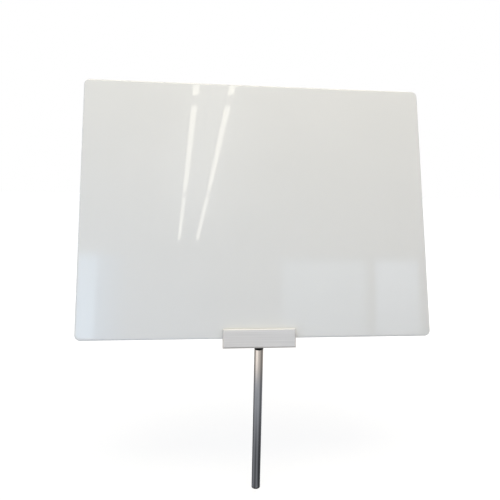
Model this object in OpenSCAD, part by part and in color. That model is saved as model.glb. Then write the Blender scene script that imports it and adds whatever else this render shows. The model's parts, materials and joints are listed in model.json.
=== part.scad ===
// Sneeze guard: a sheet gripped by a two-jaw clamp bar that tilts on the head of a single round post.
// Origin at the centre of the post's foot, +Z up the post, +X along the sheet, the sheet leans towards +Y.
// Screw threads are plain cylinders at their nominal size.

/* [Panel] */
// Width of the sheet
panel_w = 600; // [300:10:1000]
// Height of the sheet
panel_h = 450; // [250:10:800]
// Thickness of the sheet
panel_t = 5; // [3:0.5:7]
// Radius of the sheet's corners
panel_corner_r = 10; // [2:1:60]

/* [Clamp bar] */
// Length of both jaws along the sheet
jaw_w = 122; // [100:1:240]
// Height of sheet held between the jaws
jaw_grip = 16; // [10:0.5:40]
// Height of the jaws below the sheet's lower edge
jaw_drop = 16; // [13:0.5:30]
// Thickness of the front jaw
front_jaw_t = 9; // [8:0.5:16]
// Thickness of the rear jaw
rear_jaw_t = 7; // [6:0.5:16]
// Width of the bevel round each jaw's outer face
jaw_bevel = 2; // [0.5:0.1:3]
// Thickness of each rubber gasket
gasket_t = 1; // [0.5:0.1:2]
// Distance of the gaskets' edges from the jaws' edges
gasket_inset = 1; // [0.5:0.1:4]

/* [Jaw screws] */
// Nominal diameter of the jaw screws
screw_d = 5; // [4:0.5:6]
// Length of thread in the front jaw
screw_engage = 5; // [3:0.5:6]
// Room left at the bottom of each tapped hole
tap_runout = 1.5; // [0.5:0.1:2]
// Clearance on diameter of the holes in the rear jaw
screw_clearance = 0.5; // [0.2:0.1:1]
// Diameter of the button heads
screw_head_d = 9.5; // [8:0.1:12]
// Height of the button heads
screw_head_h = 2.75; // [2:0.05:4]
// Width across flats of the hexagon sockets
screw_socket = 3; // [2:0.1:4]
// Depth of the hexagon sockets
screw_socket_depth = 1.6; // [1:0.1:1.9]
// Outer diameter of the washers
washer_d = 10; // [9.5:0.1:13]
// Thickness of the washers
washer_t = 1; // [0.5:0.1:2]
// Distance of the outer screws from the jaws' ends
screw_edge = 9; // [8:0.5:14]
// Distance between the two screws on one side
screw_pitch = 13; // [13:0.5:20]

/* [Tilt joint] */
// Lean of the sheet away from the post's line, in degrees
lean = 20; // [0:1:60]
// Diameter of the pivot bar
bar_d = 8; // [6:0.5:10]
// Distance of the bar's ends from the inner washers
bar_end_gap = 2; // [1:0.5:6]
// Wall of the friction sleeves
sleeve_wall = 1.5; // [1:0.1:2.5]
// Gap at each end of the friction sleeves
sleeve_end_gap = 0.8; // [0.5:0.1:2]
// Radial running clearance between bar and sleeves
bar_clearance = 0.05; // [0.02:0.01:0.1]
// Gap between the sleeves and the sheet's lower edge
edge_gap = 0.5; // [0.3:0.1:3]
// Wall of the eye round the pivot bar
eye_wall = 1.5; // [1.2:0.1:3]
// Diameter that the eye is turned to before it is milled flat
eye_d = 14; // [12:0.5:14.5]
// Height of the eye's neck below its round nose
neck_h = 3; // [2:0.1:8]
// Diameter of the pin through eye and bar
bar_pin_d = 2.5; // [1.5:0.1:3]
// Depth of the pin's ends below the eye's faces
bar_pin_inset = 0.2; // [0.1:0.1:0.8]
// Gap round the eye and the post's head as they swing
swing_gap = 0.9; // [0.5:0.1:1.5]
// Radius of the corners at the top of the rear jaw's slot
slot_corner_r = 3; // [1:0.5:3]

/* [Post] */
// Outer diameter of the post
post_d = 15; // [13:0.5:18]
// Wall of the post
post_wall = 1; // [0.8:0.1:1.2]
// Length of the post's tube
post_len = 260; // [100:5:600]
// Height of the black flange at the post's head
head_flange_t = 4; // [2:0.5:12]
// Height of the rim at the post's foot
foot_flange_t = 2; // [1:0.5:10]

/* [Tube inserts] */
// Length of the ribbed plug inside the tube
plug_len = 26; // [24:1:60]
// Depth of the plug's ribs
rib_depth = 0.5; // [0.2:0.1:0.6]
// Height of each rib
rib_t = 2; // [1:0.5:4]
// Number of ribs on each plug
rib_count = 4; // [2:1:5]
// Nominal diameter of the thread in the post's head and foot
thread_d = 8; // [6:0.5:8]
// Tapping diameter of the thread in the foot
foot_tap_d = 6.8; // [5:0.1:7]
// Outer diameter of the threaded sleeves
thread_sleeve_d = 10; // [9.5:0.1:10.5]
// Length of the threaded sleeves
thread_sleeve_len = 22; // [12:1:24]
// Distance that the eye's stem stops short of its sleeve's end
stem_short = 2; // [1:0.5:6]

/* [Hidden] */
$fn = 64;
// Radial gap between pieces that are pressed or screwed together
fit_gap = 0.02;
// Extra length of a cut past the face that it opens
cut_past = 1;
SCREW_COUNT = 4;
SCREWS = [1 : SCREW_COUNT];

// Post, from the foot up to the pivot
post_r = post_d / 2;
post_bore_r = post_r - post_wall;
tube_top_z = foot_flange_t + post_len;
head_z = tube_top_z + head_flange_t;
eye_r = bar_d / 2 + eye_wall;
pivot_z = head_z + neck_h + eye_r;

// Clamp bar, measured from the pivot: Y to the rear, Z up the sheet
sleeve_r = bar_d / 2 + sleeve_wall;
panel_z = sleeve_r + edge_gap;
half_gap = panel_t / 2 + gasket_t;
jaw_h = jaw_grip + jaw_drop;
jaw_z = panel_z - jaw_drop;
rear_face_y = half_gap + rear_jaw_t;
pocket_half_w = post_r + swing_gap;
nose_pocket_r = eye_r + swing_gap;

// Jaw screws, bar and sleeves along X
screw_outer_x = jaw_w / 2 - screw_edge;
screw_inner_x = screw_outer_x - screw_pitch;
screw_xs = [-screw_outer_x, -screw_inner_x, screw_inner_x, screw_outer_x];
screw_z = panel_z - jaw_drop / 2;
screw_tip_y = -half_gap - screw_engage;
head_seat_y = rear_face_y + washer_t;
bar_half_len = screw_inner_x - washer_d / 2 - bar_end_gap;
sleeve_inner_x = pocket_half_w + sleeve_end_gap;
sleeve_len = bar_half_len - sleeve_end_gap - sleeve_inner_x;

// Moves a piece of the clamp from the pivot's own axes to its place on the post
module on_pivot() {
    translate([0, 0, pivot_z])
        rotate([-lean, 0, 0])
            children();
}

// Round bar along X, centred on the origin
module rod_x(r, length) {
    rotate([0, 90, 0])
        cylinder(r = r, h = length, center = true);
}

// Round bar along +Y from the origin
module rod_y(r, length) {
    rotate([-90, 0, 0])
        cylinder(r = r, h = length);
}

// Jaw plate with its inner face at Y 0 and a bevel round its outer face
module jaw_blank(t) {
    half_w = jaw_w / 2;
    b = jaw_bevel;
    intersection() {
        rotate([90, 0, 90])
            linear_extrude(jaw_w, center = true)
                polygon([[0, 0], [t - b, 0], [t, b], [t, jaw_h - b], [t - b, jaw_h], [0, jaw_h]]);
        linear_extrude(jaw_h)
            polygon([
                [-half_w, 0], [half_w, 0], [half_w, t - b],
                [half_w - b, t], [-half_w + b, t], [-half_w, t - b]
            ]);
    }
}

// Groove that grips the friction sleeves
module sleeve_groove() {
    rod_x(sleeve_r + fit_gap, 2 * bar_half_len + 2 * sleeve_end_gap);
}

// Hollow in the front jaw for the eye's nose and the post's head
module front_pocket() {
    depth = post_r + swing_gap;
    rod_x(nose_pocket_r, 2 * pocket_half_w);
    translate([-pocket_half_w, -depth, jaw_z - cut_past])
        cube([2 * pocket_half_w, depth, cut_past - jaw_z]);
}

// Slot in the rear jaw that lets the post swing, with rounded upper corners
module rear_slot() {
    depth = rear_face_y + cut_past;
    corner_x = pocket_half_w - slot_corner_r;
    corner_z = nose_pocket_r - slot_corner_r;
    floor_z = jaw_z - cut_past;
    translate([-pocket_half_w, 0, floor_z])
        cube([2 * pocket_half_w, depth, corner_z - floor_z]);
    translate([-corner_x, 0, floor_z])
        cube([2 * corner_x, depth, nose_pocket_r - floor_z]);
    for (side = [-1, 1])
        translate([side * corner_x, 0, corner_z])
            rod_y(slot_corner_r, depth);
}

module panel() {
    r = panel_corner_r;
    color("gainsboro")
        on_pivot()
            translate([0, panel_t / 2, panel_z + panel_h / 2])
                rotate([90, 0, 0])
                    linear_extrude(panel_t) {
                        square([panel_w - 2 * r, panel_h], center = true);
                        square([panel_w, panel_h - 2 * r], center = true);
                        for (sx = [-1, 1], sy = [-1, 1])
                            translate([sx * (panel_w / 2 - r), sy * (panel_h / 2 - r)])
                                circle(r);
                    }
}

module front_jaw() {
    color("silver")
        on_pivot()
            difference() {
                mirror([0, 1, 0])
                    translate([0, half_gap, jaw_z])
                        jaw_blank(front_jaw_t);
                sleeve_groove();
                front_pocket();
                for (x = screw_xs)
                    translate([x, screw_tip_y - tap_runout, screw_z])
                        rod_y(screw_d / 2 + fit_gap, screw_engage + tap_runout + cut_past);
            }
}

module rear_jaw() {
    color("silver")
        on_pivot()
            difference() {
                translate([0, half_gap, jaw_z])
                    jaw_blank(rear_jaw_t);
                sleeve_groove();
                rear_slot();
                for (x = screw_xs)
                    translate([x, half_gap - cut_past, screw_z])
                        rod_y((screw_d + screw_clearance) / 2, rear_jaw_t + 2 * cut_past);
            }
}

// Rubber pad between one jaw and the sheet, from the sheet's face outwards along Y
module gasket_pad(start_y) {
    width = jaw_w - 2 * gasket_inset;
    color("dimgray")
        on_pivot()
            translate([-width / 2, start_y, panel_z])
                cube([width, gasket_t, jaw_grip - gasket_inset]);
}

module front_gasket() {
    gasket_pad(-half_gap);
}

module rear_gasket() {
    gasket_pad(panel_t / 2);
}

// Button head screw number i, entered from the rear
module jaw_screw(i) {
    head_r = screw_head_d / 2;
    dome_r = (head_r * head_r + screw_head_h * screw_head_h) / (2 * screw_head_h);
    color("lightgray")
        on_pivot()
            translate([screw_xs[i - 1], head_seat_y, screw_z])
                rotate([-90, 0, 0])
                    difference() {
                        union() {
                            intersection() {
                                cylinder(r = head_r, h = screw_head_h);
                                translate([0, 0, screw_head_h - dome_r])
                                    sphere(dome_r);
                            }
                            translate([0, 0, screw_tip_y - head_seat_y])
                                cylinder(d = screw_d, h = head_seat_y - screw_tip_y + screw_head_h / 4);
                        }
                        translate([0, 0, screw_head_h - screw_socket_depth])
                            cylinder(d = screw_socket / cos(30), h = screw_head_h, $fn = 6);
                    }
}

// Washer under the head of screw number i
module jaw_washer(i) {
    color("lightgray")
        on_pivot()
            translate([screw_xs[i - 1], rear_face_y, screw_z])
                difference() {
                    rod_y(washer_d / 2, washer_t);
                    translate([0, -cut_past, 0])
                        rod_y((screw_d + screw_clearance) / 2, washer_t + 2 * cut_past);
                }
}

// Nylon sleeve on one end of the pivot bar
module friction_sleeve(side) {
    color("black")
        on_pivot()
            translate([side * (sleeve_inner_x + sleeve_len / 2), 0, 0])
                difference() {
                    rod_x(sleeve_r, sleeve_len);
                    rod_x(bar_d / 2 + bar_clearance, sleeve_len + 2 * cut_past);
                }
}

module friction_sleeve_left() {
    friction_sleeve(-1);
}

module friction_sleeve_right() {
    friction_sleeve(1);
}

// Hole for the pin, right through eye and bar along Y
module bar_pin_hole() {
    translate([0, -eye_r - cut_past, 0])
        rod_y(bar_pin_d / 2 + fit_gap, 2 * eye_r + 2 * cut_past);
}

module pivot_bar() {
    color("lightslategray")
        translate([0, 0, pivot_z])
            difference() {
                rod_x(bar_d / 2, 2 * bar_half_len);
                bar_pin_hole();
            }
}

module bar_pin() {
    half_len = eye_r - bar_pin_inset;
    color("slategray")
        translate([0, -half_len, pivot_z])
            rod_y(bar_pin_d / 2, 2 * half_len);
}

module post_eye() {
    drop = eye_r + neck_h;
    stem_len = thread_sleeve_len - stem_short;
    color("dimgray")
        translate([0, 0, pivot_z])
            difference() {
                union() {
                    intersection() {
                        translate([0, 0, -drop])
                            cylinder(d = eye_d, h = drop + eye_r);
                        rotate([90, 0, 90])
                            linear_extrude(eye_d, center = true) {
                                circle(eye_r);
                                translate([-eye_r, -drop])
                                    square([2 * eye_r, drop]);
                            }
                    }
                    translate([0, 0, -drop - stem_len])
                        cylinder(d = thread_d, h = stem_len + neck_h / 2);
                }
                rod_x(bar_d / 2 + fit_gap, eye_d + 2 * cut_past);
                bar_pin_hole();
            }
}

// Flanged plug for one end of the tube: rim at Z 0, ribbed plug upwards
module tube_insert(flange_t) {
    rib_r = post_bore_r - fit_gap;
    core_r = rib_r - rib_depth;
    rib_pitch = (plug_len - rib_t) / (rib_count - 1);
    difference() {
        union() {
            cylinder(r = post_r, h = flange_t);
            cylinder(r = core_r, h = flange_t + plug_len);
            for (i = [0 : rib_count - 1])
                translate([0, 0, flange_t + i * rib_pitch])
                    cylinder(r = rib_r, h = rib_t);
        }
        translate([0, 0, -cut_past])
            cylinder(d = thread_sleeve_d + 2 * fit_gap, h = thread_sleeve_len + cut_past);
        cylinder(d = thread_d, h = flange_t + plug_len + cut_past);
    }
}

// Threaded sleeve inside a tube insert: mouth at Z 0, plain bore upwards
module thread_sleeve(bore_d) {
    difference() {
        cylinder(d = thread_sleeve_d, h = thread_sleeve_len);
        translate([0, 0, -cut_past])
            cylinder(d = bore_d, h = thread_sleeve_len + 2 * cut_past);
    }
}

// Turns a foot piece over and hangs it from the top of the post's head
module at_head() {
    translate([0, 0, head_z])
        rotate([180, 0, 0])
            children();
}

module top_insert() {
    color([0.16, 0.15, 0.14])
        at_head()
            tube_insert(head_flange_t);
}

module top_thread_sleeve() {
    color("goldenrod")
        at_head()
            thread_sleeve(thread_d + 2 * fit_gap);
}

module post_tube() {
    color("lightsteelblue")
        translate([0, 0, foot_flange_t])
            difference() {
                cylinder(r = post_r, h = post_len);
                translate([0, 0, -cut_past])
                    cylinder(r = post_bore_r, h = post_len + 2 * cut_past);
            }
}

module foot_insert() {
    color([0.16, 0.15, 0.14])
        tube_insert(foot_flange_t);
}

module foot_thread_sleeve() {
    color("goldenrod")
        thread_sleeve(foot_tap_d);
}

panel();
front_jaw();
rear_jaw();
front_gasket();
rear_gasket();
for (i = SCREWS) jaw_screw(i);
for (i = SCREWS) jaw_washer(i);
friction_sleeve_left();
friction_sleeve_right();
pivot_bar();
bar_pin();
post_eye();
top_insert();
top_thread_sleeve();
post_tube();
foot_insert();
foot_thread_sleeve();
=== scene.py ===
# %% [markdown]
# # A sneeze guard on a single post
# A pale glossy sheet stands on one round steel post. A brushed aluminium clamp grips it along its lower
# edge. The solids were drawn in CAD and packed as a fixed frame, so each piece here goes where the CAD
# says, in metres. Blender adds what the eye looks for: edges that are a little rounded, the finish of
# each material, and light. The frame is loaded first, and its box is kept, because the dressed model
# has to stay inside it.

# %% Load the frame
import json
import math

import bmesh
import bpy
from mathutils import Euler, Matrix, Vector

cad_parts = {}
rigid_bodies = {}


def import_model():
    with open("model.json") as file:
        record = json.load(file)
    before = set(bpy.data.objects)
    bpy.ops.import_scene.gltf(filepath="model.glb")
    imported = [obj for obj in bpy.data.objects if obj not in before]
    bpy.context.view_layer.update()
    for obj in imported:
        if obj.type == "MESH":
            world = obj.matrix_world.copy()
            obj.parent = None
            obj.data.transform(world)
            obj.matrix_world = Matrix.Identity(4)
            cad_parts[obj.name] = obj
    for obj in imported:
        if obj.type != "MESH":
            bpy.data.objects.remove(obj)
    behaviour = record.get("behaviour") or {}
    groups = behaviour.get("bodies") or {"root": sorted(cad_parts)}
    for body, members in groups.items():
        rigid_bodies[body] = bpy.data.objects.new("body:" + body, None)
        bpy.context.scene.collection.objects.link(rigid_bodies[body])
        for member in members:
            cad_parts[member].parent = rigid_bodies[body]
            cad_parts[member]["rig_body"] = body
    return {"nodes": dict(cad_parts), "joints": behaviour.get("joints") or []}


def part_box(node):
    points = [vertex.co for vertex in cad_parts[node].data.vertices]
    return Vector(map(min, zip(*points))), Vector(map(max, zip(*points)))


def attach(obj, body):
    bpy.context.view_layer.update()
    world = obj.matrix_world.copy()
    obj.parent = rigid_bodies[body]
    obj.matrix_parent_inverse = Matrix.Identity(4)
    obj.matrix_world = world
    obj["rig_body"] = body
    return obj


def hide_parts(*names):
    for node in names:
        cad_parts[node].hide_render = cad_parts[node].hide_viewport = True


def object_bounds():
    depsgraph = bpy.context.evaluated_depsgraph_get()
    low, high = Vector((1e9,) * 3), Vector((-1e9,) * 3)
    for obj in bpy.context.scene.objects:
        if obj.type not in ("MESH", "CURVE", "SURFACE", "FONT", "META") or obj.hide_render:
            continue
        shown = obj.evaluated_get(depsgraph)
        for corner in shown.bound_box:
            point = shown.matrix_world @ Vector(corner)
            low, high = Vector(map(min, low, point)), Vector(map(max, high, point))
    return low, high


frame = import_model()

MM = 0.001
CAD_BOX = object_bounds()
frame_size = [round(v, 4) for v in CAD_BOX[1] - CAD_BOX[0]]
print("frame:", len(frame["nodes"]), "nodes in a box of", frame_size)

# %% [markdown]
# ## The camera
# The viewpoint could be set by eye, but straight edges of a known shape give it exactly. The sheet's
# four corners, the clamp's ends and the line of the post were fitted together, which gave a place, a
# turn and a focal length. The picture is square, so a focal length in pixels becomes millimetres on a
# sensor that is 36 mm wide. The lens's own centre lies a little off the middle of the picture, and a
# small lens shift gives that.

# %% Set the camera
IMAGE_PX = 500
FOCAL_PX = 502.83
CENTRE_PX = (268.06, 258.63)
SENSOR_MM = 36.0
CAMERA_AT = Vector((-79.446, -793.841, 586.332)) * MM
CAMERA_TURN_DEG = (78.062, -1.463, -6.233)

camera_data = bpy.data.cameras.new("camera")
camera_data.sensor_width = SENSOR_MM
camera_data.lens = SENSOR_MM * FOCAL_PX / IMAGE_PX
camera_data.shift_x = (IMAGE_PX / 2 - CENTRE_PX[0]) / IMAGE_PX
camera_data.shift_y = (CENTRE_PX[1] - IMAGE_PX / 2) / IMAGE_PX
camera = bpy.data.objects.new("camera", camera_data)
camera_turn = Euler([math.radians(a) for a in CAMERA_TURN_DEG])
camera.matrix_world = Matrix.LocRotScale(CAMERA_AT, camera_turn, None)
scene = bpy.context.scene
scene.collection.objects.link(camera)
bpy.context.scene.camera = camera
scene.view_settings.view_transform = "Standard"
print("camera: lens", round(camera_data.lens, 2), "mm")

# %% [markdown]
# ## Colours and nodes
# Colours are picked as sRGB hex values, as on a screen, but shaders add light in linear values. One
# function turns the first into the second. A second function adds a node, sets its options and fills
# its sockets, each with a plain value or with a link, so that a material reads as a short list of what
# goes into what.

# %% Turn hex to linear, and add a node
# A Mix node has its own sockets for each kind of value, and they are told apart by number.
SHARE = 0
NUMBER_A = 2
NUMBER_B = 3
COLOUR_A = 6
COLOUR_B = 7
MIXED_COLOUR = 2


def linear(hex_colour):
    """The linear RGBA of an sRGB colour such as "#c8c8ca"."""
    shares = [int(hex_colour[i:i + 2], 16) / 255 for i in (1, 3, 5)]
    return [s / 12.92 if s <= 0.04045 else ((s + 0.055) / 1.055) ** 2.4 for s in shares] + [1.0]


def node(tree, kind, inputs, **settings):
    """Adds a node. inputs fills sockets, by name or number, with values or other nodes' sockets."""
    made = tree.nodes.new("ShaderNode" + kind)
    for name, value in settings.items():
        setattr(made, name, value)
    for socket, value in inputs.items():
        if isinstance(value, bpy.types.NodeSocket):
            tree.links.new(value, made.inputs[socket])
        else:
            made.inputs[socket].default_value = value
    return made


def start_material(name):
    """A new material and its node tree, still empty."""
    material = bpy.data.materials.new(name)
    material.use_nodes = True
    material.node_tree.nodes.clear()
    return material, material.node_tree


print("hex check: mid grey is", round(linear("#808080")[0], 3))

# %% [markdown]
# ## The white room
# A cut-out product picture has a pure white ground. More light on the object would bleach it, so the
# white comes from what each ray sees instead: the camera, mirrors and clear things see white, and dull
# surfaces are lit by a softer grey. The Light Path node tells these rays apart. The world does this for
# the air.

# %% Light the world
AMBIENT = 0.64
SKY_HEX = "#ecf0ff"
WHITE_HEX = "#ffffff"


def looking_rays(tree):
    """A socket that is 1 for rays from the camera, a mirror or a clear thing, and 0 for all others."""
    path = node(tree, "LightPath", {}).outputs
    mirrored = node(tree, "Math", {0: path["Is Glossy Ray"], 1: path["Is Transmission Ray"]})
    looking = node(tree, "Math", {0: path["Is Camera Ray"], 1: mirrored.outputs[0]}, use_clamp=True)
    return looking.outputs[0]


scene.world = bpy.data.worlds.new("white_room")
scene.world.use_nodes = True
tree = scene.world.node_tree
tree.nodes.clear()
fill = node(tree, "Background", {"Color": linear(SKY_HEX), "Strength": AMBIENT})
white = node(tree, "Background", {"Color": linear(WHITE_HEX), "Strength": 1.0})
both = node(tree, "MixShader", {0: looking_rays(tree), 1: fill.outputs[0], 2: white.outputs[0]})
node(tree, "OutputWorld", {"Surface": both.outputs[0]})
print("world: ambient", AMBIENT, "and white where it is looked at")

# %% [markdown]
# ## The floor
# The floor is a wide pale plane just under the foot. What the camera and mirrors see of it is mostly a
# glow, with a share of real paint on top. The paint is what darkens under the object, so the floor
# keeps a soft, faint shadow. The glow is a little lower near the foot, where that shadow lies, and
# rises outwards until the ground is pure white. Dull surfaces see a plain grey paint with no glow
# instead, because light thrown up from a white floor would drown the small glow that the clamp's ledge
# casts on the sheet.

# %% Lay the floor
FLOOR_HALF = 6.0
FLOOR_Z = -0.1 * MM
BOUNCE_PAINT_HEX = "#c8c8c8"
SHADOW_PAINT_HEX = "#898986"
GLOW_NEAR = 0.75
GLOW_FAR = 0.92
GLOW_RISE_M = (0.2, 1.6)

paint, tree = start_material("pale_floor_paint")
bounce = node(tree, "BsdfDiffuse", {"Color": linear(BOUNCE_PAINT_HEX)})
shadow = node(tree, "BsdfDiffuse", {"Color": linear(SHADOW_PAINT_HEX)})
place = node(tree, "TexCoord", {}).outputs["Object"]
away = node(tree, "VectorMath", {0: place}, operation="LENGTH")
rise = node(tree, "MapRange", {
    "Value": away.outputs["Value"],
    "From Min": GLOW_RISE_M[0],
    "From Max": GLOW_RISE_M[1],
    "To Min": GLOW_NEAR,
    "To Max": GLOW_FAR,
}, interpolation_type="SMOOTHSTEP")
glow = node(tree, "Emission", {"Color": linear(WHITE_HEX), "Strength": rise.outputs[0]})
bright = node(tree, "AddShader", {0: shadow.outputs[0], 1: glow.outputs[0]})
both = node(tree, "MixShader", {0: looking_rays(tree), 1: bounce.outputs[0], 2: bright.outputs[0]})
node(tree, "OutputMaterial", {"Surface": both.outputs[0]})

floor_mesh = bpy.data.meshes.new("floor")
floor_signs = [(-1, -1), (1, -1), (1, 1), (-1, 1)]
floor_corners = [(x * FLOOR_HALF, y * FLOOR_HALF, FLOOR_Z) for x, y in floor_signs]
floor_mesh.from_pydata(floor_corners, [], [range(4)])
floor_mesh.materials.append(paint)
floor = bpy.data.objects.new("floor", floor_mesh)
scene.collection.objects.link(floor)
print("floor:", 2 * FLOOR_HALF, "m across")

# %% [markdown]
# ## Four soft boxes
# A warm box hangs overhead. It lights the upward faces and gives the clamp its bright top edge. A
# second one hangs high in front, so that the sheet is a little brighter towards its top, as a sheet
# under a ceiling is, and its light also bounces off the clamp's ledge onto the sheet. A cool one stands
# low on the left like a window, and one behind lights the back. Mirrors see neither of these two: the
# windows that they show are cards, made below, and the rear box would be a hard white shape in the
# sheet when it tilts back. A light's power is worked out from how bright its face should be and how
# large it is.

# %% Hang the soft boxes
# Name: place, aim, width and height in metres, brightness where 1 is white, tint, seen in mirrors.
SOFT_BOXES = {
    "overhead_box": ((0.1, -0.4, 2.3), (0.1, 0.0, 0.3), 1.8, 1.1, 2.2, "#ffefd0", True),
    "front_box": ((-0.25, -0.5, 2.4), (-0.25, 0.1, 0.5), 2.0, 1.0, 3.08, "#fffcea", True),
    "window_box": ((-0.65, -0.72, 0.15), (-0.08, 0.02, 0.36), 0.7, 0.5, 1.75, "#9ccaff", False),
    "rear_box": ((0.4, 1.7, 1.2), (0.0, 0.1, 0.45), 1.2, 1.2, 4.2, "#fffaf4", False),
}

for name, (at, aim, width, height, brightness, tint, in_mirrors) in SOFT_BOXES.items():
    lamp = bpy.data.lights.new(name, "AREA")
    lamp.shape = "RECTANGLE"
    lamp.size = width
    lamp.size_y = height
    lamp.energy = brightness * math.pi * width * height
    lamp.color = linear(tint)[:3]
    soft_box = bpy.data.objects.new(name, lamp)
    soft_box.location = at
    soft_box.rotation_euler = (Vector(aim) - Vector(at)).to_track_quat("-Z", "Y").to_euler()
    soft_box.visible_camera = False
    soft_box.visible_glossy = in_mirrors
    scene.collection.objects.link(soft_box)
    print(name, "gives", round(lamp.energy, 1), "W")

# %% [markdown]
# ## What the sheet mirrors
# A glossy sheet is known by what it reflects: two rows of ceiling tubes, and the pale panes of windows
# low down. Painting them on would slide in other views, so real cards of light hang in the room. To
# find where each belongs, a ray goes from the camera through a pixel of the picture, bounces off the
# sheet and stops at a ceiling or a wall.

# %% Find where the sheet looks
LEAN_DEG = 20
PANEL_MM = (600.0, 5.0, 450.0)
PIVOT = Vector(frame["joints"][0]["pos_m"])
CLAMP = Matrix.Translation(PIVOT) @ Matrix.Rotation(-math.radians(LEAN_DEG), 4, "X")
SHEET_FRONT = CLAMP @ Vector((0, -PANEL_MM[1] / 2 * MM, 0))
SHEET_FACING = CLAMP.to_3x3() @ Vector((0, -1, 0))
# A ceiling or a wall is a point on it and the way that it faces.
CEILING = (Vector((0, 0, 2.6)), Vector((0, 0, -1)))
WINDOW_WALL = (Vector((0, -3.2, 0)), Vector((0, 1, 0)))
SHEET_MIDDLE_PX = (250, 210)


def mirrored_to(pixel, wall_at, wall_facing):
    """Where a camera ray through a pixel lands on a wall, after the sheet's front has mirrored it."""
    x, y = pixel
    aim = Vector((x - CENTRE_PX[0], CENTRE_PX[1] - y, -FOCAL_PX)).normalized()
    ray = camera.matrix_world.to_3x3() @ aim
    hit = CAMERA_AT + ray * ((SHEET_FRONT - CAMERA_AT).dot(SHEET_FACING) / ray.dot(SHEET_FACING))
    bounce = ray.reflect(SHEET_FACING)
    return hit + bounce * ((wall_at - hit).dot(wall_facing) / bounce.dot(wall_facing))


seen = mirrored_to(SHEET_MIDDLE_PX, *CEILING)
print("the sheet's middle looks at", [round(v, 2) for v in seen])

# %% [markdown]
# The cards glow only for mirrors, and each point of a card has its own brightness, so a pane can fade
# downwards. These colours are kept as a point attribute, which one glow material reads. Its alpha is
# put to another use: it holds how far a ray may come from and still see the glow. A ray from further
# off sees a plain pale grey. Only the card round the post, below, needs that.

# %% Make glow cards
PALE_GREY_HEX = "#c5c5c5"
ANY_REACH = 100.0

card_glow, tree = start_material("lamp_glow")
point_glow = node(tree, "Attribute", {}, attribute_name="glow")
path = node(tree, "LightPath", {})
too_far = node(tree, "Math", {
    0: path.outputs["Ray Length"],
    1: point_glow.outputs["Alpha"],
}, operation="GREATER_THAN")
shown = node(tree, "Mix", {
    SHARE: too_far.outputs[0],
    COLOUR_A: point_glow.outputs["Color"],
    COLOUR_B: linear(PALE_GREY_HEX),
}, data_type="RGBA")
glow = node(tree, "Emission", {"Color": shown.outputs[MIXED_COLOUR], "Strength": 1.0})
node(tree, "OutputMaterial", {"Surface": glow.outputs[0]})


def lit(hex_colour, strength):
    """A linear colour at some brightness, where 1 is white, that rays from anywhere see."""
    return [strength * c for c in linear(hex_colour)[:3]] + [ANY_REACH]


def grid_faces(count, wide):
    """Quads that join rows of points, with so many points to a row."""
    return [(i, i + 1, i + wide + 1, i + wide) for i in range(count - wide) if i % wide < wide - 1]


def glow_card(name, points, faces, colours):
    """A card that only mirrors see. colours gives each point's linear colour, where 1 is white."""
    mesh = bpy.data.meshes.new(name)
    mesh.from_pydata(points, [], faces)
    glows = mesh.attributes.new("glow", "FLOAT_COLOR", "POINT")
    for point, colour in zip(glows.data, colours):
        point.color = colour
    mesh.materials.append(card_glow)
    card = bpy.data.objects.new(name, mesh)
    card.visible_camera = False
    card.visible_diffuse = False
    card.visible_transmission = False
    card.visible_shadow = False
    scene.collection.objects.link(card)
    print(name, "has", len(points), "points")


print("cards share the material", card_glow.name)

# %% [markdown]
# The tubes hang end to end in two straight rows with small gaps. One long card a row would lose the
# gaps, so each tube is a card of its own. A row is a straight line in the picture, and its tubes narrow
# and dim with distance.

# %% Hang the ceiling tubes
# The line of each row of tubes: x at one row of pixels, and how far x moves per row of pixels.
TUBE_ROW_Y = 84.5
TUBE_LINES = {"left": (196.7, -0.112), "right": (233.1, -0.230)}
# Upper and lower pixel rows of each tube, its width in pixels at both, and its brightness.
TUBES = [
    (60, 95.0, 7.4, 6.2, 6.3),
    (106, 191.8, 6.0, 4.2, 6.0),
    (197.2, 240.0, 4.0, 3.2, 5.8),
]
TUBE_HEX = "#fffcef"

for side, (start_x, drift) in TUBE_LINES.items():
    for number, (upper, lower, upper_w, lower_w, brightness) in enumerate(TUBES, 1):
        edges = [(upper, -upper_w), (upper, upper_w), (lower, lower_w), (lower, -lower_w)]
        corners = [(start_x + drift * (row - TUBE_ROW_Y) + width / 2, row) for row, width in edges]
        points = [mirrored_to(corner, *CEILING) for corner in corners]
        glow_card(f"tube_{side}_{number}", points, [range(4)], [lit(TUBE_HEX, brightness)] * 4)

# %% [markdown]
# Tubes also light the ceiling that they hang from, so their reflections have a soft halo. A card just
# above them is brightest on the line midway between both rows. It falls off to the sides, and with
# distance, to the plain room.

# %% Brighten the ceiling round the tubes
HALO_CEILING = (Vector((0, 0, 2.7)), Vector((0, 0, -1)))
HALO_ROWS = (50, 80, 110, 140, 170, 200, 220, 240, 260)
HALO_OFFSETS = (-110, -80, -60, -45, -30, -15, 0, 15, 30, 45, 60, 80, 110)
HALO_PX = 36
HALO_FADE_ROWS = (185, 245)
HALO_GLOW = 0.95


def ease(low, high, value):
    """0 below low, 1 above high, and a smooth climb between them."""
    t = min(max((value - low) / (high - low), 0.0), 1.0)
    return t * t * (3 - 2 * t)


def bell(off, width):
    """1 in the middle, fading smoothly to both sides."""
    return math.exp(-(off / width) ** 2)


halo_points = []
halo_colours = []
for row in HALO_ROWS:
    row_xs = [start_x + drift * (row - TUBE_ROW_Y) for start_x, drift in TUBE_LINES.values()]
    strength = HALO_GLOW * (1 - ease(*HALO_FADE_ROWS, row))
    for off in HALO_OFFSETS:
        halo_points.append(mirrored_to((sum(row_xs) / 2 + off, row), *HALO_CEILING))
        halo_colours.append(lit(WHITE_HEX, 1 + strength * bell(off, HALO_PX)))
halo_faces = grid_faces(len(halo_points), len(HALO_OFFSETS))
glow_card("ceiling_halo", halo_points, halo_faces, halo_colours)

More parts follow.
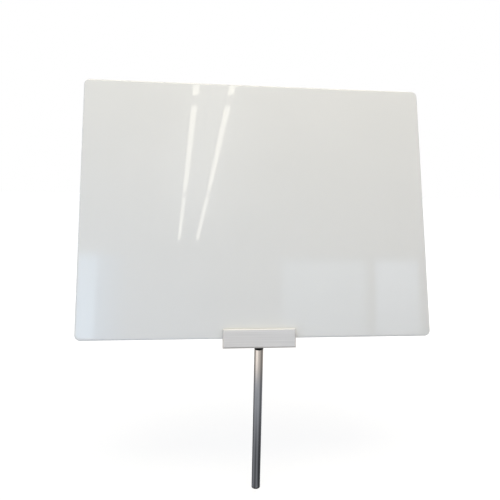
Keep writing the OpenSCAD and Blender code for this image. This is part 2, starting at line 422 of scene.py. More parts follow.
# %% [markdown]
# Window light is softer than a tube: each pane's reflection fades over a few pixels at its sides. So a
# pane is a card of four by four points, whose outer ring of points is only as bright as the wall behind
# it. The left window also lights the reveal beside it, so its card has one more column, and its glow
# trails off there.

# %% Hang the window panes
# Pixel corners clockwise from the upper left, the brightness at each, the tint, and the wall's brightness.
PANES = {
    "pane_left": (
        [(40, 253.5), (98, 253.5), (92.5, 350), (30, 350)], [3.9, 3.9, 4.7, 4.7], "#cae5ff", 0.85,
    ),
    "pane_right_1": (
        [(281, 260), (366.5, 260), (366.5, 345), (281, 345)], [2.35, 2.35, 1.55, 1.55], "#e4f2ff", 0.65,
    ),
    "pane_right_2": (
        [(375, 260), (417.5, 260), (421, 345), (376, 345)], [3.05, 3.05, 1.75, 1.75], "#e0eeff", 0.65,
    ),
}
# Where the points lie across a pane, from 0 at its first side to 1 at its last.
FADE_STEPS = (-0.05, 0.05, 0.95, 1.05)
REVEAL_END = 1.55
REVEAL_GLOW = 2.1
REVEAL_HEX = "#b9dcff"

for name, (corners, glows, tint, wall) in PANES.items():
    columns = FADE_STEPS + ((REVEAL_END,) if name == "pane_left" else ())
    points = []
    colours = []
    for down in FADE_STEPS:
        for over in columns:
            shares = ((1 - over) * (1 - down), over * (1 - down), over * down, (1 - over) * down)
            pixel = [sum(s * c[axis] for s, c in zip(shares, corners)) for axis in (0, 1)]
            points.append(mirrored_to(pixel, *WINDOW_WALL))
            inside = 0 < down < 1
            if inside and 0 < over < 1:
                colours.append(lit(tint, sum(s * g for s, g in zip(shares, glows))))
            elif inside and 1 < over < columns[-1]:
                colours.append(lit(REVEAL_HEX, REVEAL_GLOW))
            else:
                colours.append(lit(WHITE_HEX, wall))
    glow_card(name, points, grid_faces(len(points), len(columns)), colours)

# %% [markdown]
# Bare metal facing a pure white room looks like paper. A photographer stands a grey flag in front of
# it, so that the clamp's face mirrors something a little darker than the room. It fades to white
# upwards, and the sheet's lower half mirrors the same fade, which is part of why the sheet is greyer
# there.

# %% Stand the grey flag
FLAG_Y = -4.0
FLAG_HALF = 3.0
FLAG_LEFT = 1.0
FLAG_RIGHT = 0.3
# Height in metres, and how much of the grey is left there.
FLAG_ROWS = [(0.0, 1.0), (1.5, 1.0), (2.0, 0.5), (2.6, 0.0)]

flag_points = []
flag_colours = []
for height, share in FLAG_ROWS:
    flag_points += [(-FLAG_HALF, FLAG_Y, height), (FLAG_HALF, FLAG_Y, height)]
    flag_colours += [lit(WHITE_HEX, 1 - share * (1 - grey)) for grey in (FLAG_LEFT, FLAG_RIGHT)]
glow_card("grey_flag", flag_points, grid_faces(len(flag_points), 2), flag_colours)

# %% [markdown]
# ## What the post mirrors
# Seen from above, an upright mirror tube reflects only the floor round it. On a white floor it would
# vanish, so a photographer lays a graded card there. It is dark and cool next to the foot and opens to
# warm white further out on the camera's left, which gives the tube its bright top, its dark sides and
# its grey lower end. The clamp hangs well above that card and should still mirror a pale floor. A ray
# to the same spot is longer from the clamp than from the tube, so each point of the card only shows its
# shade to rays as short as the tube's.

# %% Lay the graded card
CARD_RADII = [8, 30, 60, 90, 130, 180, 240, 300, 360, 420, 480, 540, 600, 680, 800, 1000, 1300, 1700]
CARD_STEPS = 72
CARD_Z = 0.3 * MM
COOL_HEX = "#edf3ff"
WARM_HEX = "#fff6ef"
# Three bands of the card, from the foot outwards: a plain brightness, then soft patches of light. A patch
# has a strength, a direction in degrees to the right of the camera's side, and a width in degrees.
NEAR_BAND = (0.05, [(0.21, -72, 36), (0.19, 16, 28), (0.15, 150, 35)])
MIDDLE_BAND = (0.12, [(0.30, -60, 50), (0.30, 18, 42), (0.30, 150, 35)])
FAR_BAND = (0.2, [(1.05, -47, 41), (0.38, 23, 41), (0.40, 150, 35)])
# Distances in millimetres over which one thing turns into the next.
NEAR_TO_MIDDLE = (80, 370)
MIDDLE_TO_FAR = (370, 600)
FAR_TO_WHITE = (900, 1700)
COOL_TO_WARM = (390, 540)
# Beyond this distance the tube shows the camera none of the card.
TUBE_SEES_MM = 700
# A ray may be this many times as long as the tube's own and still see the card's shade.
REACH_SPARE = 1.12


def band_shade(band, to_right):
    """How bright a band is in one direction."""
    shade, patches = band
    for strength, middle, width in patches:
        off = (to_right - middle + 180) % 360 - 180
        shade += strength * bell(off, width)
    return shade


def card_shade(radius, to_right):
    """The card's colour at a distance from the post in mm, and at an angle as a patch has it."""
    shade = band_shade(NEAR_BAND, to_right)
    shade += (band_shade(MIDDLE_BAND, to_right) - shade) * ease(*NEAR_TO_MIDDLE, radius)
    shade += (band_shade(FAR_BAND, to_right) - shade) * ease(*MIDDLE_TO_FAR, radius)
    shade += (1.0 - shade) * ease(*FAR_TO_WHITE, radius)
    warmth = ease(*COOL_TO_WARM, radius)
    cool = lit(COOL_HEX, shade * (1 - warmth))
    warm = lit(WARM_HEX, shade * warmth)
    return [c + w for c, w in zip(cool[:3], warm[:3])]


toward_camera = math.degrees(math.atan2(CAMERA_AT.y, CAMERA_AT.x))
camera_out = math.hypot(CAMERA_AT.x, CAMERA_AT.y)
card_points = []
card_colours = []
for radius in CARD_RADII:
    out = radius * MM
    up_the_tube = CAMERA_AT.z * out / (camera_out + out)
    reach = REACH_SPARE * math.hypot(out, up_the_tube) if radius < TUBE_SEES_MM else ANY_REACH
    for step in range(CARD_STEPS):
        turn = 360 * step / CARD_STEPS
        x = out * math.cos(math.radians(turn))
        y = out * math.sin(math.radians(turn))
        card_points.append((x, y, CARD_Z))
        card_colours.append(card_shade(radius, turn - toward_camera) + [reach])
card_faces = []
for ring in range(len(CARD_RADII) - 1):
    inner = ring * CARD_STEPS
    outer = inner + CARD_STEPS
    for step in range(CARD_STEPS):
        after = (step + 1) % CARD_STEPS
        card_faces.append((inner + step, outer + step, outer + after, inner + after))
glow_card("graded_card", card_points, card_faces, card_colours)

# %% [markdown]
# ## Opal acrylic, cast and polished
# The sheet looks milky and even, with a mirror-like skin. Such sheets are cast between glass plates, so
# the skin is very smooth with a long, slow waviness, and the white in it drifts only slightly. A clear
# plastic over white could be two shaders mixed, but one Principled shader already has that: a coloured
# body under a thin reflecting skin.

# %% Cast the opal acrylic
# To the eye: an even, pale, faintly warm white, with sharp but not perfect reflections.
ACRYLIC_IOR = 1.49
CLOUD_MM = 90
WIPE_MM = 6
SKIN_ROUGHNESS = (0.012, 0.03)
WAVE_MM = 140
WAVE_DEPTH_MM = 0.06

opal, tree = start_material("opal_acrylic_cast")
place = node(tree, "TexCoord", {}).outputs["Object"]
cloud = node(tree, "TexNoise", {"Vector": place, "Scale": 1 / (CLOUD_MM * MM), "Detail": 2.0})
milk = node(tree, "Mix", {
    SHARE: cloud.outputs[0],
    COLOUR_A: linear("#d7d7d3"),
    COLOUR_B: linear("#dadad6"),
}, data_type="RGBA")
wipe = node(tree, "TexNoise", {"Vector": place, "Scale": 1 / (WIPE_MM * MM), "Detail": 4.0})
skin = node(tree, "MapRange", {
    "Value": wipe.outputs[0],
    "To Min": SKIN_ROUGHNESS[0],
    "To Max": SKIN_ROUGHNESS[1],
})
wave = node(tree, "TexNoise", {"Vector": place, "Scale": 1 / (WAVE_MM * MM), "Detail": 0.0})
relief = node(tree, "Bump", {"Height": wave.outputs[0], "Strength": 1.0, "Distance": WAVE_DEPTH_MM * MM})
shader = node(tree, "BsdfPrincipled", {
    "Base Color": milk.outputs[MIXED_COLOUR],
    "Roughness": skin.outputs[0],
    "IOR": ACRYLIC_IOR,
    "Normal": relief.outputs[0],
})
node(tree, "OutputMaterial", {"Surface": shader.outputs[0]})
print("opal acrylic: IOR", ACRYLIC_IOR)

# %% [markdown]
# ## Aluminium, brushed and anodised
# The clamp bar is aluminium, brushed along its length and then clear anodised. The brush leaves lines that
# run the long way, so light spreads across them and the bar shows long, faint streaks. Noise that is
# stretched far along one axis gives such lines. It drives the colour a little, the roughness more, and a
# fine relief. Each stroke of the brush is also a few millimetres wide, which a second, coarser noise
# gives. That noise drives only the colour. It is slid so that its lighter and darker bands fall where the
# bar catches more and less light, so it is brush strokes and painted light and shade together.

# %% Brush the aluminium
# To the eye: a soft grey-white metal with long level streaks and no sharp reflections.
# Real brush lines are about 0.1 mm apart, too fine for this picture, so they are drawn 1.3 mm apart.
BRUSH_MM = 1.3
BRUSH_LONG_MM = 110
BRUSH_DEPTH_MM = 0.01
BRUSH_ROUGHNESS = (0.28, 0.46)
STROKE_MM = 6.0
STROKE_LONG_MM = 260
# Where in the noise the strokes start, set so that their lighter and darker bands paint the bar's light
# and shade.
STROKE_AND_SHADING_START = (11.4, 0.0, 0.4)

aluminium, tree = start_material("brushed_anodised_aluminium")
place = node(tree, "TexCoord", {}).outputs["Object"]
brush_scale = (1 / (BRUSH_LONG_MM * MM), 1 / (BRUSH_MM * MM), 1 / (BRUSH_MM * MM))
stretched = node(tree, "Mapping", {"Vector": place, "Scale": brush_scale})
lines = node(tree, "TexNoise", {
    "Vector": stretched.outputs[0],
    "Scale": 1.0,
    "Detail": 3.0,
    "Roughness": 0.65,
})
stroke_scale = (1 / (STROKE_LONG_MM * MM), 1 / (STROKE_MM * MM), 1 / (STROKE_MM * MM))
slid = node(tree, "Mapping", {"Vector": place, "Scale": stroke_scale, "Location": STROKE_AND_SHADING_START})
# The strokes are brush marks and painted light and shade together.
strokes_and_shading = node(tree, "TexNoise", {"Vector": slid.outputs[0], "Scale": 1.0, "Detail": 1.0})
brushed = node(tree, "Mix", {SHARE: 0.5, NUMBER_A: lines.outputs[0], NUMBER_B: strokes_and_shading.outputs[0]})
metal = node(tree, "Mix", {
    SHARE: brushed.outputs[0],
    COLOUR_A: linear("#b5b3b2"),
    COLOUR_B: linear("#e5e2e0"),
}, data_type="RGBA")
rough = node(tree, "MapRange", {
    "Value": lines.outputs[0],
    "To Min": BRUSH_ROUGHNESS[0],
    "To Max": BRUSH_ROUGHNESS[1],
})
relief = node(tree, "Bump", {"Height": lines.outputs[0], "Strength": 0.6, "Distance": BRUSH_DEPTH_MM * MM})
shader = node(tree, "BsdfPrincipled", {
    "Base Color": metal.outputs[MIXED_COLOUR],
    "Metallic": 1.0,
    "Roughness": rough.outputs[0],
    "Normal": relief.outputs[0],
})
node(tree, "OutputMaterial", {"Surface": shader.outputs[0]})
print("brushed aluminium: lines", BRUSH_MM, "mm apart")

# %% [markdown]
# The bar's long upper and lower faces get a paler copy of the aluminium, with a fine even grain in place
# of long lines. The paleness is a painted highlight, for the light that these faces catch. The ledge
# against which the sheet stands is one of them, and it throws light up the sheet.

# %% Paint a highlight on the aluminium's long faces
# To the eye: a pale, even metal that is a touch brighter than the brushed faces beside it, a painted
# highlight.
# A cutter's marks are about 0.2 mm apart, too fine to show, so they are drawn 0.8 mm apart.
CUTTER_MM = 0.8
CUTTER_ROUGHNESS = (0.3, 0.42)

painted_highlight, tree = start_material("painted_highlight_aluminium")
place = node(tree, "TexCoord", {}).outputs["Object"]
marks = node(tree, "TexNoise", {"Vector": place, "Scale": 1 / (CUTTER_MM * MM), "Detail": 2.0})
metal = node(tree, "Mix", {
    SHARE: marks.outputs[0],
    COLOUR_A: linear("#e8e8e8"),
    COLOUR_B: linear("#f1f1f0"),
}, data_type="RGBA")
rough = node(tree, "MapRange", {
    "Value": marks.outputs[0],
    "To Min": CUTTER_ROUGHNESS[0],
    "To Max": CUTTER_ROUGHNESS[1],
})
shader = node(tree, "BsdfPrincipled", {
    "Base Color": metal.outputs[MIXED_COLOUR],
    "Metallic": 1.0,
    "Roughness": rough.outputs[0],
})
node(tree, "OutputMaterial", {"Surface": shader.outputs[0]})
print("milled aluminium: marks", CUTTER_MM, "mm apart")

# %% [markdown]
# ## Stainless steel tube, drawn and polished
# The post is pulled through a die and then polished along its length. What is left are hair lines down
# the tube, which break up a reflection sideways and hardly at all lengthwise. Noise that is stretched
# along the tube gives them, as it does the brush lines.

# %% Polish the tube
# To the eye: dark and light bands that run the length of the post, slightly soft at their sides.
# Real polish lines are under 0.05 mm wide, so they are drawn 0.7 mm wide to show.
POLISH_MM = 0.7
POLISH_LONG_MM = 160
POLISH_ROUGHNESS = (0.06, 0.15)

stainless, tree = start_material("polished_stainless_tube")
place = node(tree, "TexCoord", {}).outputs["Object"]
polish_scale = (1 / (POLISH_MM * MM), 1 / (POLISH_MM * MM), 1 / (POLISH_LONG_MM * MM))
stretched = node(tree, "Mapping", {"Vector": place, "Scale": polish_scale})
lines = node(tree, "TexNoise", {"Vector": stretched.outputs[0], "Scale": 1.0, "Detail": 2.0})
metal = node(tree, "Mix", {
    SHARE: lines.outputs[0],
    COLOUR_A: linear("#d6d4d2"),
    COLOUR_B: linear("#e4e2df"),
}, data_type="RGBA")
rough = node(tree, "MapRange", {
    "Value": lines.outputs[0],
    "To Min": POLISH_ROUGHNESS[0],
    "To Max": POLISH_ROUGHNESS[1],
})
shader = node(tree, "BsdfPrincipled", {
    "Base Color": metal.outputs[MIXED_COLOUR],
    "Metallic": 1.0,
    "Roughness": rough.outputs[0],
})
node(tree, "OutputMaterial", {"Surface": shader.outputs[0]})
print("stainless tube: lines", POLISH_MM, "mm wide")

# %% [markdown]
# ## The small parts' finishes
# The screws and washers are plated steel, the bar and eye are ground steel, the threads are turned
# brass, and the plugs, sleeves and pads are black nylon and rubber. They differ in colour, in gloss and
# in the size of their grain, so one table and one loop make them all.

# %% Make the small parts' finishes
# Name: metallic, darker and lighter colour, smoothest and roughest, grain in mm, relief in mm.
SMALL_FINISHES = {
    # To the eye: a pale metal with a satin shine and small highlights on its domes.
    "zinc_plated_steel": (1.0, "#b4b4b2", "#c9c9c6", 0.22, 0.36, 1.2, 0.004),
    # To the eye: a darker, cooler metal, evenly dull.
    "ground_steel": (1.0, "#8f9194", "#a8a9ab", 0.26, 0.42, 0.9, 0.006),
    # To the eye: warm yellow with soft glints along the thread.
    "turned_brass": (1.0, "#b8934a", "#cfae66", 0.24, 0.40, 0.8, 0.006),
    # To the eye: a deep, slightly warm black that only shines a little at its edges.
    "moulded_black_nylon": (0.0, "#0b0909", "#13100f", 0.42, 0.6, 0.6, 0.02),
    # To the eye: a dull charcoal with no shine at all.
    "pressed_rubber": (0.0, "#1d1d1c", "#2b2b2a", 0.70, 0.88, 0.5, 0.03),
}
# Nylon and rubber bend light about alike.
POLYMER_IOR = 1.53
# The fine texture of a mould swallows about three quarters of the plain gloss.
DULL_SKIN = 0.12

finishes = {}
for name, (metallic, dark, light, smoothest, roughest, grain_mm, depth_mm) in SMALL_FINISHES.items():
    finishes[name], tree = start_material(name)
    place = node(tree, "TexCoord", {}).outputs["Object"]
    grain = node(tree, "TexNoise", {"Vector": place, "Scale": 1 / (grain_mm * MM), "Detail": 3.0})
    shade = node(tree, "Mix", {
        SHARE: grain.outputs[0],
        COLOUR_A: linear(dark),
        COLOUR_B: linear(light),
    }, data_type="RGBA")
    rough = node(tree, "MapRange", {"Value": grain.outputs[0], "To Min": smoothest, "To Max": roughest})
    relief = node(tree, "Bump", {"Height": grain.outputs[0], "Strength": 0.5, "Distance": depth_mm * MM})
    shader = node(tree, "BsdfPrincipled", {
        "Base Color": shade.outputs[MIXED_COLOUR],
        "Metallic": metallic,
        "Roughness": rough.outputs[0],
        "Normal": relief.outputs[0],
    })
    if metallic == 0.0:
        shader.inputs["IOR"].default_value = POLYMER_IOR
        shader.inputs["Specular IOR Level"].default_value = DULL_SKIN
    node(tree, "OutputMaterial", {"Surface": shader.outputs[0]})
print("small finishes:", ", ".join(finishes))

# %% [markdown]
# ## From mesh to piece
# Every new piece is made the same way at the end: its mesh gets smooth shading and a material, and then
# the piece gets the body it moves with and the node it stands for. Where small rounded edges lie beside
# large flat faces, normals that are weighted by face size keep those faces flat to the eye.

# %% Make a piece of a mesh
def make_piece(name, bm, material, slot, *nodes):
    """Turns a bmesh into a piece that stands for CAD nodes and moves with their body."""
    bmesh.ops.recalc_face_normals(bm, faces=bm.faces)
    mesh = bpy.data.meshes.new(name)
    bm.to_mesh(mesh)
    bm.free()
    mesh.polygons.foreach_set("use_smooth", [True] * len(mesh.polygons))
    mesh.materials.append(material)
    piece = bpy.data.objects.new(name, mesh)
    scene.collection.objects.link(piece)
    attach(piece, frame["nodes"][nodes[0]]["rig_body"])
    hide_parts(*nodes)
    return piece


def weigh_normals(piece):
    """Lets large faces keep their own direction beside small rounded edges."""
    weighted = piece.modifiers.new("flat_faces", "WEIGHTED_NORMAL")
    weighted.keep_sharp = True


# %% [markdown]
# ## The sheet
# The sheet is cut from a cast plate, its corners are rounded and its cut edges are polished round. A
# box with a bevel would do, but drawing its outline loop by loop gives both roundings exactly. Each
# loop is the outline, set in a little and placed across the thickness. A last loop just inside each
# face keeps it flat to the eye.

# %% Cut the sheet
CORNER_MM = 10.0
EDGE_MM = 2.0
CORNER_STEPS = 16
EDGE_STEPS = 5
FLAT_LOOP_MM = 4.0
SHEET_FOOT_MM = 6.0


def outline(inset):
    """Points round the sheet's outline, set in by some millimetres."""
    points = []
    reach_x = PANEL_MM[0] / 2 - CORNER_MM
    reach_z = PANEL_MM[2] / 2 - CORNER_MM
    for corner, (side_x, side_z) in enumerate(((1, 1), (-1, 1), (-1, -1), (1, -1))):
        for step in range(CORNER_STEPS + 1):
            angle = math.pi / 2 * (corner + step / CORNER_STEPS)
            x = side_x * reach_x + (CORNER_MM - inset) * math.cos(angle)
            z = side_z * reach_z + (CORNER_MM - inset) * math.sin(angle)
            points.append((x, z + SHEET_FOOT_MM + PANEL_MM[2] / 2))
    return points


half_t = PANEL_MM[1] / 2
quarter = [math.pi / 2 * i / EDGE_STEPS for i in range(EDGE_STEPS + 1)]
front_round = [(EDGE_MM * (1 - math.sin(a)), -half_t + EDGE_MM * (1 - math.cos(a))) for a in quarter]
rear_round = [(inset, -y) for inset, y in reversed(front_round)]
sheet_loops = [(FLAT_LOOP_MM, -half_t)] + front_round + rear_round + [(FLAT_LOOP_MM, half_t)]

bm = bmesh.new()
loops = []
for inset, y in sheet_loops:
    loops.append([bm.verts.new(CLAMP @ (Vector((x, y, z)) * MM)) for x, z in outline(inset)])
for near, far in zip(loops, loops[1:]):
    for i in range(len(near)):
        j = (i + 1) % len(near)
        bm.faces.new((near[i], near[j], far[j], far[i]))
bm.faces.new(loops[0])
bm.faces.new(loops[-1])
sheet = make_piece("sheet", bm, opal, "acrylic_sheet", "panel")
print("sheet:", len(sheet.data.polygons), "faces")

# %% [markdown]
# ## Broken edges on machined parts
# No machined edge is a knife edge: each is broken with a file or a tumbler, and that thin round is what
# catches light. The CAD solids of the jaws, the eye, the bar, the pin and the pads have the right shape
# already, so a copy of each gets a small bevel on every edge that turns sharply. The copy is joined up
# first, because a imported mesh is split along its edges, and flat faces are merged so that the bevel
# runs clean.

# %% Break the edges of a solid
SHARP_DEG = 28
FLAT_DEG = 0.5
JOIN_MM = 0.001
BEVEL_STEPS = 3
# A face this square to the clamp's height is one of its long upper or lower faces, painted paler as a
# highlight.
SQUARE_ON = 0.98


def broken_edges(name, node_name, radius_mm, material, slot):
    """A copy of a CAD solid with its sharp edges rounded."""
    solid = frame["nodes"][node_name].data
    bm = bmesh.new()
    corners = [bm.verts.new(v.co) for v in solid.vertices]
    for face in solid.polygons:
        bm.faces.new([corners[i] for i in face.vertices])
    bmesh.ops.remove_doubles(bm, verts=bm.verts, dist=JOIN_MM * MM)
    bmesh.ops.dissolve_limit(bm, angle_limit=math.radians(FLAT_DEG), verts=bm.verts, edges=bm.edges)
    piece = make_piece(name, bm, material, slot, node_name)
    bevel = piece.modifiers.new("broken_edges", "BEVEL")
    bevel.width = radius_mm * MM
    bevel.segments = BEVEL_STEPS
    bevel.limit_method = "ANGLE"
    bevel.angle_limit = math.radians(SHARP_DEG)
    weigh_normals(piece)
    print(name, "has edges broken by", radius_mm, "mm")
    return piece


BROKEN = [
    ("clamp_front", "front_jaw", 0.35, aluminium, "jaw_aluminium"),
    ("clamp_rear", "rear_jaw", 0.35, aluminium, "jaw_aluminium"),
    ("pad_front", "front_gasket", 0.3, finishes["pressed_rubber"], "gasket_rubber"),
    ("pad_rear", "rear_gasket", 0.3, finishes["pressed_rubber"], "gasket_rubber"),
    ("head_eye", "post_eye", 0.3, finishes["ground_steel"], "bar_steel"),
    ("cross_bar", "pivot_bar", 0.3, finishes["ground_steel"], "bar_steel"),
    ("cross_pin", "bar_pin", 0.2, finishes["ground_steel"], "bar_steel"),
]
for name, node_name, radius_mm, material, slot in BROKEN:
    piece = broken_edges(name, node_name, radius_mm, material, slot)
    # The long upper and lower faces get the paler aluminium, a painted highlight.
    if material == aluminium:
        piece.data.materials.append(painted_highlight)
        for face in piece.data.polygons:
            facing = CLAMP.to_3x3().inverted() @ face.normal
            face.material_index = int(abs(facing.z) > SQUARE_ON)

# %% [markdown]
# ## Turned parts
# Tube, plugs, sleeves, washers and screws are all round, so they are made as on a lathe: a profile of
# radius and height is carried round an axis. Each profile corner is eased first. A ring may also get a
# shape, a function that scales its radius by the angle. A hexagon sinks the key socket in a screw head
# that way, and a thread is cut with one.

# %% Turn a profile on the lathe
TURN_STEPS = 96
EASE_STEPS = 3
# An eased corner takes at most this share of a side, so that two corners never meet.
EASE_SHARE = 0.45


def eased(profile, radius):
    """The closed profile with each corner swapped for a small round."""
    points = []
    for i, corner in enumerate(profile):
        corner = Vector(corner)
        before = Vector(profile[i - 1]) - corner
        after = Vector(profile[(i + 1) % len(profile)]) - corner
        start = before.normalized() * min(radius, EASE_SHARE * before.length)
        end = after.normalized() * min(radius, EASE_SHARE * after.length)
        for step in range(EASE_STEPS + 1):
            t = step / EASE_STEPS
            points.append(tuple(corner + start * (1 - t) ** 2 + end * t ** 2))
    return points


def turned(name, rings, stand, closed, material, slot, *nodes):
    """A lathe piece. A ring is a radius and a height in mm, and maybe a shape; radius 0 closes an end."""
    bm = bmesh.new()
    loops = []
    for radius, height, *shape in rings:
        if radius == 0:
            loops.append([bm.verts.new(stand @ Vector((0, 0, height * MM)))] * TURN_STEPS)
            continue
        loop = []
        for step in range(TURN_STEPS):
            angle = 2 * math.pi * step / TURN_STEPS
            reach = radius * shape[0](angle) if shape else radius
            spot = Vector((reach * math.cos(angle), reach * math.sin(angle), height))
            loop.append(bm.verts.new(stand @ (spot * MM)))
        loops.append(loop)
    pairs = list(zip(loops, loops[1:]))
    if closed:
        pairs.append((loops[-1], loops[0]))
    for near, far in pairs:
        for i in range(TURN_STEPS):
            j = (i + 1) % TURN_STEPS
            bm.faces.new(dict.fromkeys((near[i], near[j], far[j], far[i])))
    piece = make_piece(name, bm, material, slot, *nodes)
    weigh_normals(piece)
    print(name, "is turned from", len(rings), "rings")
    return piece


print("lathe:", TURN_STEPS, "steps a turn")

# %% [markdown]
# ## The post
# The post is a plain drawn tube, 15 mm across with a 1 mm wall, cut square and deburred at both ends.
# The frame says where its ends are. A cylinder would have knife edges, so the tube is turned with a
# small lip.

# %% Turn the post
UPRIGHT = Matrix.Identity(4)
TUBE_R = 7.5
TUBE_BORE_R = 6.5
TUBE_LIP_MM = 0.25

tube_foot, tube_top = [corner.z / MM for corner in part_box("post_tube")]
tube_profile = [(TUBE_BORE_R, tube_foot), (TUBE_R, tube_foot), (TUBE_R, tube_top), (TUBE_BORE_R, tube_top)]
turned("tube", eased(tube_profile, TUBE_LIP_MM), UPRIGHT, True, stainless, "post_stainless", "post_tube")

# %% [markdown]
# ## The plugs in the tube's ends
# A moulded nylon plug closes each end: a rim as wide as the tube, and a ribbed shank that grips inside
# it. The upper rim is the black ring under the clamp, and the lower one is the thin dark line on which
# the post stands. A brass sleeve with the thread is moulded into each. The upper plug is the lower one
# upside down with a thicker rim, so one profile serves both.

# %% Turn the plugs and the head's thread sleeve
PLUG_LEN = 26.0
PLUG_CORE_R = 5.98
PLUG_RIB_R = 6.48
PLUG_BORE_R = 4.0
PLUG_EASE_MM = 0.3
RIB_COUNT = 4
RIB_T = 2.0
RIB_PITCH = 8.0
BRASS_R = 5.0
BRASS_SEAT_R = 5.02
BRASS_LEN = 22.0
BRASS_EASE_MM = 0.2
EYE_THREAD_R = 4.02


def plug_profile(rim_t):
    """Rim at height 0, ribbed shank upwards, and the stepped bore."""
    profile = [(BRASS_SEAT_R, 0.0), (TUBE_R, 0.0), (TUBE_R, rim_t)]
    for rib in range(RIB_COUNT):
        foot = rim_t + rib * RIB_PITCH
        if rib:
            profile.append((PLUG_CORE_R, foot))
        profile += [(PLUG_RIB_R, foot), (PLUG_RIB_R, foot + RIB_T)]
        if rib < RIB_COUNT - 1:
            profile.append((PLUG_CORE_R, foot + RIB_T))
    top = rim_t + PLUG_LEN
    return profile + [(PLUG_BORE_R, top), (PLUG_BORE_R, BRASS_LEN), (BRASS_SEAT_R, BRASS_LEN)]


head_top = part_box("top_insert")[1].z
HANGING = Matrix.Translation((0, 0, head_top)) @ Matrix.Rotation(math.pi, 4, "X")
# Piece: the node it stands for, how it stands, and how thick its rim is.
PLUGS = {"head_plug": ("top_insert", HANGING, 4.0), "foot_plug": ("foot_insert", UPRIGHT, 2.0)}
nylon = finishes["moulded_black_nylon"]
brass = finishes["turned_brass"]
for name, (node_name, stand, rim_t) in PLUGS.items():
    rings = eased(plug_profile(rim_t), PLUG_EASE_MM)
    turned(name, rings, stand, True, nylon, "insert_nylon", node_name)
eye_seat = [(EYE_THREAD_R, 0.0), (BRASS_R, 0.0), (BRASS_R, BRASS_LEN), (EYE_THREAD_R, BRASS_LEN)]
rings = eased(eye_seat, BRASS_EASE_MM)
turned("head_thread", rings, HANGING, True, brass, "thread_brass", "top_thread_sleeve")

# %% [markdown]
# The head's thread is filled by the eye, but the foot's stays open for a base or a counter bolt, so it
# is really cut: an M8 thread, 1.25 mm a turn. Round the bore the wall moves out and in as a zigzag of
# height, and the zigzag shifts with the angle, one pitch a turn, which makes it a helix. It runs out to
# nothing at both mouths.

# %% Cut the foot's thread
PITCH_MM = 1.25
CREST_R = 3.4
ROOT_R = 4.0
RINGS_PER_TURN = 6
RUN_OUT_MM = 1.5


def thread_at(height):
    """The shape of the bore at one height."""
    from_mouth = min(height, BRASS_LEN - height)
    depth = (ROOT_R / CREST_R - 1) * min(1.0, from_mouth / RUN_OUT_MM)

    def shape(angle):
        turn = (height / PITCH_MM - angle / (2 * math.pi)) % 1.0
        return 1 + depth * (1 - abs(2 * turn - 1))

    return shape


foot_sleeve = [(CREST_R, 0.0), (BRASS_R, 0.0), (BRASS_R, BRASS_LEN), (CREST_R, BRASS_LEN)]
foot_rings = eased(foot_sleeve, BRASS_EASE_MM)
ring_count = int(BRASS_LEN / PITCH_MM * RINGS_PER_TURN)
# The outermost rings are left out, because the eased mouths take their place.
for ring in range(ring_count - 2, 1, -1):
    height = BRASS_LEN * ring / ring_count
    foot_rings.append((CREST_R, height, thread_at(height)))
turned("foot_thread", foot_rings, UPRIGHT, True, brass, "thread_brass", "foot_thread_sleeve")

# %% [markdown]
# ## The friction sleeves
# Two nylon sleeves sit on the cross bar inside the clamp. The jaws squeeze them, and that grip is what
# holds the sheet at any tilt. They are short tubes, turned along the bar between the ends that the
# frame gives.

# %% Turn the friction sleeves
GRIP_BORE_R = 4.05
GRIP_R = 5.5
GRIP_EASE_MM = 0.3
ALONG_BAR = CLAMP @ Matrix.Rotation(math.pi / 2, 4, "Y")

for side in ("left", "right"):
    node_name = f"friction_sleeve_{side}"
    start, end = [corner.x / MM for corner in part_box(node_name)]
    rings = eased([(GRIP_BORE_R, start), (GRIP_R, start), (GRIP_R, end), (GRIP_BORE_R, end)], GRIP_EASE_MM)
    turned(f"grip_sleeve_{side}", rings, ALONG_BAR, True, nylon, "sleeve_nylon", node_name)

# %% [markdown]
# ## Screws and washers
# Four button head screws pull the jaws together from behind. A button head is a low dome with a key
# socket. The dome is an arc of a circle through the head's rim and its crown, and the hexagon is sunk
# into it ring by ring.

# %% Turn the screws and washers
SHANK_R = 2.5
SHANK_LEN = 20.0
SHANK_TIP_MM = 0.5
HEAD_R = 4.75
HEAD_H = 2.75
DOME_R = (HEAD_R ** 2 + HEAD_H ** 2) / (2 * HEAD_H)
DOME_STEPS = 12
# How far inside the head's radius the rim is: at the underside, at its widest, where the dome starts.
RIM_STEPS_MM = (0.15, 0.03, 0.06)
KEY_MM = 3.0
SOCKET_R = KEY_MM / 2 / math.cos(math.pi / 6)
SOCKET_FLOOR = 1.15
# The socket is eased too: a round rim on the dome, two steps down its mouth, and one at its floor.
MOUTH_RIM_MM = 0.2
MOUTH_STEPS_MM = (0.05, 0.15)
FLOOR_EASE_MM = 0.1
WASHER_HOLE_R = 2.75
WASHER_R = 5.0
WASHER_T = 1.0
WASHER_EASE_MM = 0.15
SCREW_XS = (-52.0, -39.0, 39.0, 52.0)
SCREW_Z = -2.0
REAR_FACE_Y = 10.5


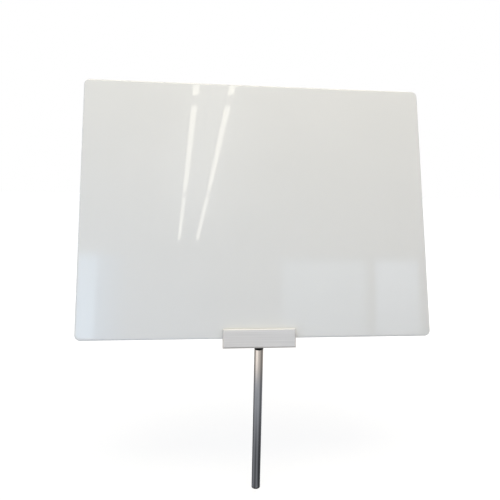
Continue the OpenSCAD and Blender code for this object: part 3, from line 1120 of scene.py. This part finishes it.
def dome_height(radius):
    """How high the dome is above the washer, at some distance from its middle."""
    return HEAD_H - DOME_R + math.sqrt(DOME_R ** 2 - radius ** 2)


def hexagon(angle):
    """How far out a hexagon's side is at an angle, as a share of its corners' distance."""
    half_side = math.pi / 6
    return math.cos(half_side) / math.cos(angle % (2 * half_side) - half_side)


screw_rings = [(0, -SHANK_LEN), (SHANK_R - SHANK_TIP_MM, -SHANK_LEN)]
screw_rings += [(SHANK_R, -SHANK_LEN + SHANK_TIP_MM), (SHANK_R, 0.0)]
screw_rings += [(HEAD_R - RIM_STEPS_MM[0], 0.0), (HEAD_R - RIM_STEPS_MM[1], RIM_STEPS_MM[1])]
dome_rim = HEAD_R - RIM_STEPS_MM[2]
for step in range(DOME_STEPS + 1):
    radius = dome_rim + (SOCKET_R + MOUTH_RIM_MM - dome_rim) * step / DOME_STEPS
    screw_rings.append((radius, dome_height(radius)))
mouth = dome_height(SOCKET_R)
screw_rings += [(SOCKET_R + MOUTH_STEPS_MM[0], mouth - MOUTH_STEPS_MM[0], hexagon)]
screw_rings += [(SOCKET_R, mouth - MOUTH_STEPS_MM[1], hexagon)]
screw_rings += [(SOCKET_R, SOCKET_FLOOR + FLOOR_EASE_MM, hexagon)]
screw_rings += [(SOCKET_R - FLOOR_EASE_MM, SOCKET_FLOOR, hexagon), (0, SOCKET_FLOOR)]
washer_profile = [(WASHER_HOLE_R, 0.0), (WASHER_R, 0.0), (WASHER_R, WASHER_T), (WASHER_HOLE_R, WASHER_T)]
washer_rings = eased(washer_profile, WASHER_EASE_MM)
zinc = finishes["zinc_plated_steel"]

for number, x in enumerate(SCREW_XS, 1):
    hole = Matrix.Translation(Vector((x, REAR_FACE_Y, SCREW_Z)) * MM)
    seat = CLAMP @ hole @ Matrix.Rotation(-math.pi / 2, 4, "X")
    raised = seat @ Matrix.Translation((0, 0, WASHER_T * MM))
    turned(f"washer_{number}", washer_rings, seat, True, zinc, "screw_steel", f"jaw_washer_{number}")
    turned(
        f"button_screw_{number}", screw_rings, raised, False, zinc, "screw_steel", f"jaw_screw_{number}",
    )
